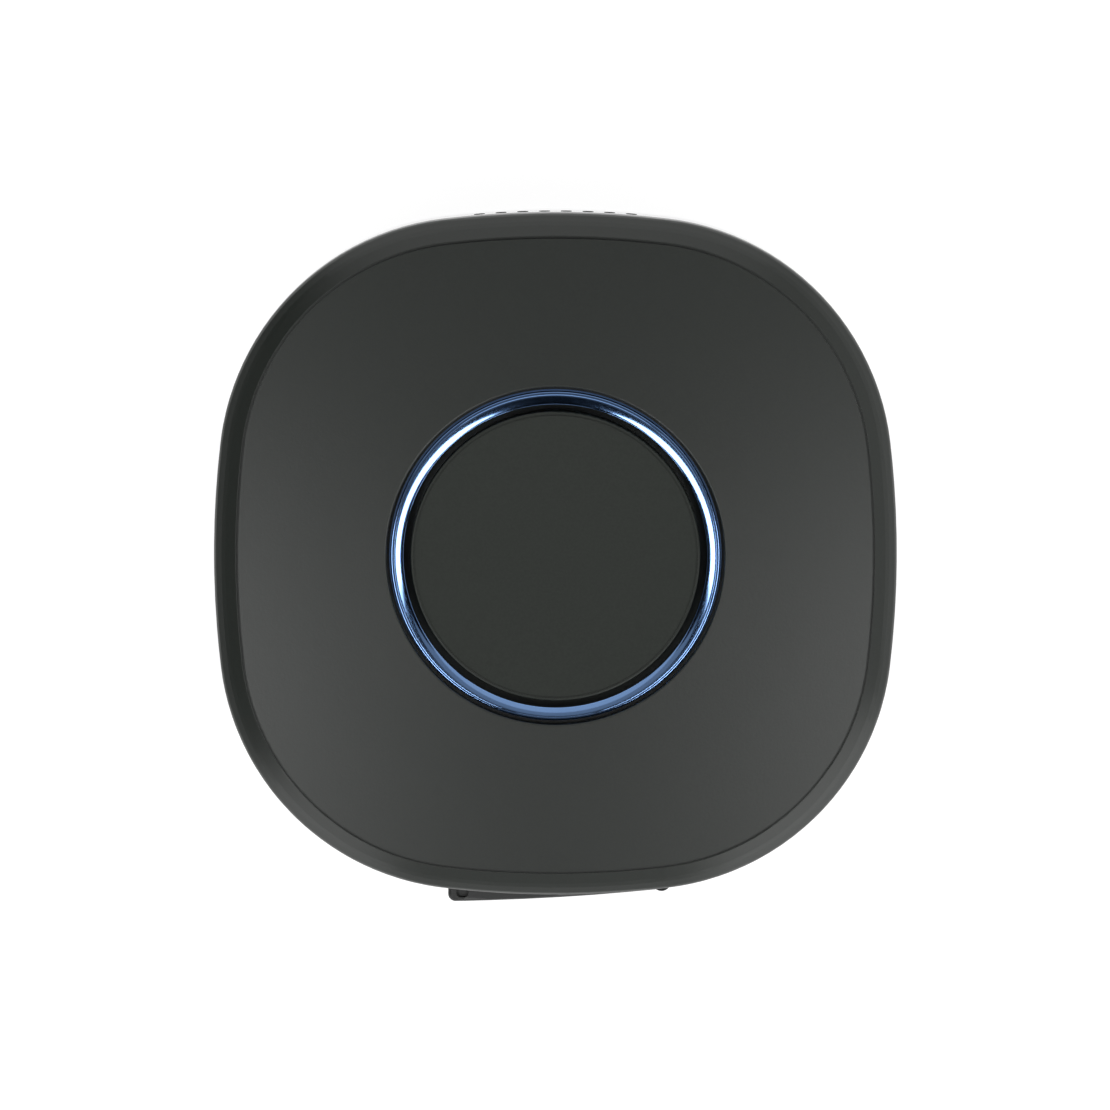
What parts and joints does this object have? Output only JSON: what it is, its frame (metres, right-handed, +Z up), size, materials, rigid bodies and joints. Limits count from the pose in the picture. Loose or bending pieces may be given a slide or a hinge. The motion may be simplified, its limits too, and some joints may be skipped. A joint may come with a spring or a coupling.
{
  "type": "bluetooth audio receiver",
  "caption": "Pocket wireless audio receiver: a rounded-square dark puck with a round button in a blue metal ring, a row of fine vents, and a rubber flap over its audio and charging sockets.",
  "frame": {"origin": "centre of the rubber foot's underside, below the button's axis, on the surface the puck lies on", "axes": "+Z up out of the front face along the button's axis, +Y towards the vented side, -Y towards the side with the port flap, +X to the right as seen from above with the vents at the top"},
  "size_m": [0.05, 0.0509, 0.0201],
  "materials": {
    "shell_gloss": "dark grey gloss moulded plastic of the rear housing",
    "shell_satin": "dark grey soft-touch coated plastic of the front cover",
    "cap_satin": "dark grey soft-touch plastic of the button",
    "blue_metal": "polished ring with a blue metallic plating",
    "foot_rubber": "matt black rubber",
    "flap_rubber": "dark grey soft rubber with a satin skin",
    "screw_steel": "zinc-plated steel",
    "spring_steel": "bright spring wire",
    "plated_steel": "tin-plated steel sheet",
    "gold_brass": "gold-plated spring brass",
    "inner_plastic": "black engineering plastic, hidden inside",
    "clear_plastic": "milky clear plastic light guide",
    "led_white": "white light-emitting diodes, not lit",
    "cream_plastic": "cream connector plastic",
    "board_green": "green solder mask on glass-fibre board",
    "ceramic_white": "white ceramic chip antenna",
    "ceramic_brown": "brown ceramic chip components",
    "chip_black": "black moulded chip packages",
    "can_aluminium": "aluminium capacitor cans",
    "jack_black": "black socket plastic",
    "mesh_black": "fine black acoustic mesh",
    "cell_foil": "aluminium-laminate pouch of the battery cell",
    "tape_foam": "white double-sided foam tape",
    "wire_red": "red wire insulation",
    "wire_black": "black wire insulation"
  },
  "bodies": {
    "case": {"rear_housing": "shell_gloss", "front_cover": "shell_satin", "foot_pad": "foot_rubber", "case_screws": "screw_steel", "trim_ring": "blue_metal", "button_frame": "inner_plastic", "frame_screws": "screw_steel", "light_guide": "clear_plastic", "status_leds": "led_white", "return_spring": "spring_steel", "switch_base": "inner_plastic", "switch_cover": "plated_steel", "main_board": "board_green", "module_board": "board_green", "shield_can": "plated_steel", "chip_antenna": "ceramic_white", "audio_chip": "chip_black", "power_chip": "chip_black", "crystal": "plated_steel", "coupling_capacitors": "can_aluminium", "small_components": "ceramic_brown", "jack_body": "jack_black", "jack_contacts": "gold_brass", "usb_shell": "plated_steel", "usb_tongue": "jack_black", "usb_contacts": "gold_brass", "flap_pin": "screw_steel", "vent_mesh": "mesh_black", "battery_cell": "cell_foil", "battery_tape": "tape_foam", "battery_wire_red": "wire_red", "battery_wire_black": "wire_black", "battery_socket": "cream_plastic", "battery_plug": "cream_plastic"},
    "button": {"button_cap": "cap_satin"},
    "plunger": {"switch_plunger": "cream_plastic"},
    "flap": {"port_flap": "flap_rubber"}
  },
  "joints": [
    {"name": "button_press", "type": "slide", "parent": "case", "child": "button", "axis": [0, 0, -1], "range_m": [0, 0.0006], "stiffness_N_per_m": 1500, "springref_m": -0.0008, "deforming": ["return_spring"]},
    {"name": "switch_press", "type": "slide", "parent": "case", "child": "plunger", "axis": [0, 0, -1], "range_m": [0, 0.0006]},
    {"name": "flap_hinge", "type": "hinge", "parent": "case", "child": "flap", "pos_m": [0.0078, -0.0243, 0.0112], "axis": [0, 0, 1], "range_deg": [0, 130]}
  ],
  "couplings": [
    {"joint": "switch_press", "follows": "button_press", "ratio": 1}
  ]
}
